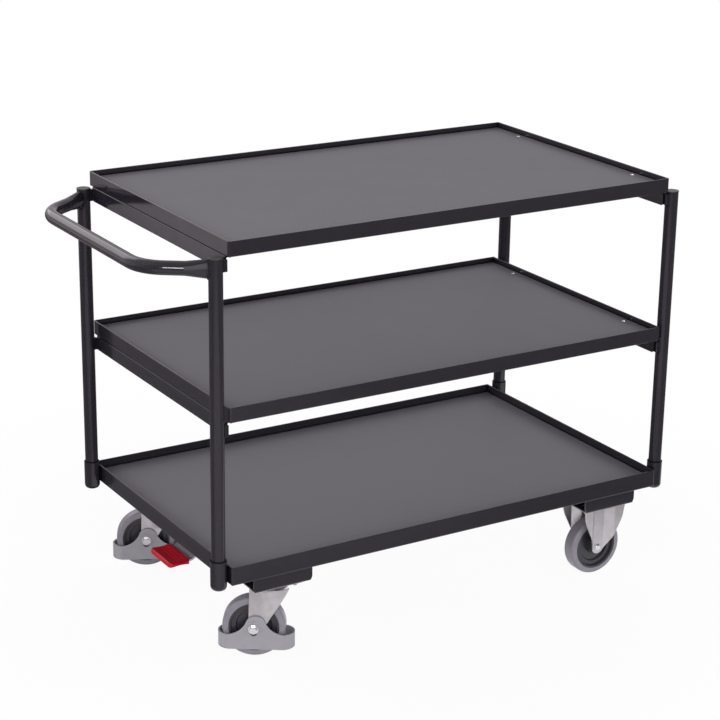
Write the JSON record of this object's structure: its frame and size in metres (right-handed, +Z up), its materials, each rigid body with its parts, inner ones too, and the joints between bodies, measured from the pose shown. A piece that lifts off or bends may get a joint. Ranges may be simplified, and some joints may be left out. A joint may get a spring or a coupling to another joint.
{
  "type": "table trolley",
  "caption": "Three-shelf table trolley with angle-steel frames, grey boards, tubular posts and push handle, swivel and fixed casters, and a central foot brake.",
  "frame": {"origin": "on the ground, under the middle of the trolley's outline", "axes": "+X along the shelves from the push handle to the far end, +Y towards the back, +Z up"},
  "size_m": [1.1866, 0.626, 0.8675],
  "materials": {
    "frame_coat": "glossy anthracite powder coat",
    "shelf_board": "mid-grey melamine facing, satin",
    "zinc": "bright zinc plating",
    "bearing_steel": "ground",
    "tyre_grey": "matt grey elastomer",
    "wheel_plastic": "satin",
    "guard_grey": "satin grey",
    "black_plastic": "satin",
    "pedal_red": "glossy red"
  },
  "bodies": {
    "chassis": {"top_long_rails": "frame_coat", "top_end_rails": "frame_coat", "middle_long_rails": "frame_coat", "middle_end_rails": "frame_coat", "bottom_long_rails": "frame_coat", "bottom_end_rails": "frame_coat", "top_board": "shelf_board", "middle_board": "shelf_board", "bottom_board": "shelf_board", "front_handle_post": "frame_coat", "back_handle_post": "frame_coat", "front_far_post": "frame_coat", "back_far_post": "frame_coat", "top_handle_crossbar": "frame_coat", "top_far_crossbar": "frame_coat", "middle_handle_crossbar": "frame_coat", "middle_far_crossbar": "frame_coat", "push_handle": "frame_coat", "post_caps": "black_plastic", "post_sleeves": "frame_coat", "swivel_brackets": "frame_coat", "fixed_brackets": "frame_coat", "shelf_screws": "zinc", "shelf_nuts": "zinc", "caster_bolts": "zinc", "caster_nuts": "zinc", "swivel_plates": "zinc", "kingpins": "zinc", "swivel_ball_rings": "bearing_steel", "fixed_axles": "zinc", "front_fixed_fork": "zinc", "back_fixed_fork": "zinc", "brake_shaft_bushes": "black_plastic"},
    "front_swivel": {"front_swivel_fork": "zinc", "front_swivel_axle_bolt": "zinc", "front_swivel_axle_tube": "zinc"},
    "front_swivel_wheel": {"front_swivel_tyre": "tyre_grey", "front_swivel_wheel_centre": "wheel_plastic", "front_swivel_wheel_bearing": "bearing_steel"},
    "front_fixed_wheel": {"front_fixed_tyre": "tyre_grey", "front_fixed_wheel_centre": "wheel_plastic", "front_fixed_wheel_bearing": "bearing_steel"},
    "front_guard": {"front_foot_guard": "guard_grey"},
    "front_plunger": {"front_brake_plunger": "zinc"},
    "back_swivel": {"back_swivel_fork": "zinc", "back_swivel_axle_bolt": "zinc", "back_swivel_axle_tube": "zinc"},
    "back_swivel_wheel": {"back_swivel_tyre": "tyre_grey", "back_swivel_wheel_centre": "wheel_plastic", "back_swivel_wheel_bearing": "bearing_steel"},
    "back_fixed_wheel": {"back_fixed_tyre": "tyre_grey", "back_fixed_wheel_centre": "wheel_plastic", "back_fixed_wheel_bearing": "bearing_steel"},
    "back_guard": {"back_foot_guard": "guard_grey"},
    "back_plunger": {"back_brake_plunger": "zinc"},
    "brake": {"brake_shaft": "zinc", "brake_fingers": "zinc", "brake_lever": "zinc", "brake_pedal": "pedal_red"}
  },
  "joints": [
    {"name": "front_caster_swivel", "type": "hinge", "parent": "chassis", "child": "front_swivel", "pos_m": [-0.33303, -0.245, 0.15], "axis": [0, 0, 1], "continuous": true},
    {"name": "front_swivel_wheel_roll", "type": "hinge", "parent": "front_swivel", "child": "front_swivel_wheel", "pos_m": [-0.35818, -0.22866, 0.0625], "axis": [0.5446, 0.8387, 0], "continuous": true},
    {"name": "front_fixed_wheel_roll", "type": "hinge", "parent": "chassis", "child": "front_fixed_wheel", "pos_m": [0.45398, -0.245, 0.0625], "axis": [0, 1, 0], "continuous": true},
    {"name": "front_guard_lift", "type": "slide", "parent": "front_swivel", "child": "front_guard", "axis": [0, 0, 1], "range_m": [0, 0.008]},
    {"name": "front_plunger_push", "type": "slide", "parent": "front_swivel", "child": "front_plunger", "axis": [0, 0, -1], "range_m": [0, 0.0024]},
    {"name": "back_caster_swivel", "type": "hinge", "parent": "chassis", "child": "back_swivel", "pos_m": [-0.33303, 0.245, 0.15], "axis": [0, 0, 1], "continuous": true},
    {"name": "back_swivel_wheel_roll", "type": "hinge", "parent": "back_swivel", "child": "back_swivel_wheel", "pos_m": [-0.35999, 0.25815, 0.0625], "axis": [0.4384, 0.8988, 0], "continuous": true},
    {"name": "back_fixed_wheel_roll", "type": "hinge", "parent": "chassis", "child": "back_fixed_wheel", "pos_m": [0.45398, 0.245, 0.0625], "axis": [0, 1, 0], "continuous": true},
    {"name": "back_guard_lift", "type": "slide", "parent": "back_swivel", "child": "back_guard", "axis": [0, 0, 1], "range_m": [0, 0.008]},
    {"name": "back_plunger_push", "type": "slide", "parent": "back_swivel", "child": "back_plunger", "axis": [0, 0, -1], "range_m": [0, 0.0024]},
    {"name": "brake_pedal_tread", "type": "hinge", "parent": "chassis", "child": "brake", "pos_m": [-0.32603, 0, 0.1825], "axis": [0, -1, 0], "range_deg": [0, 22]}
  ],
  "couplings": [
    {"joint": "front_plunger_push", "follows": "brake_pedal_tread", "m_per_rad": 0.00625},
    {"joint": "back_plunger_push", "follows": "brake_pedal_tread", "m_per_rad": 0.00625}
  ]
}
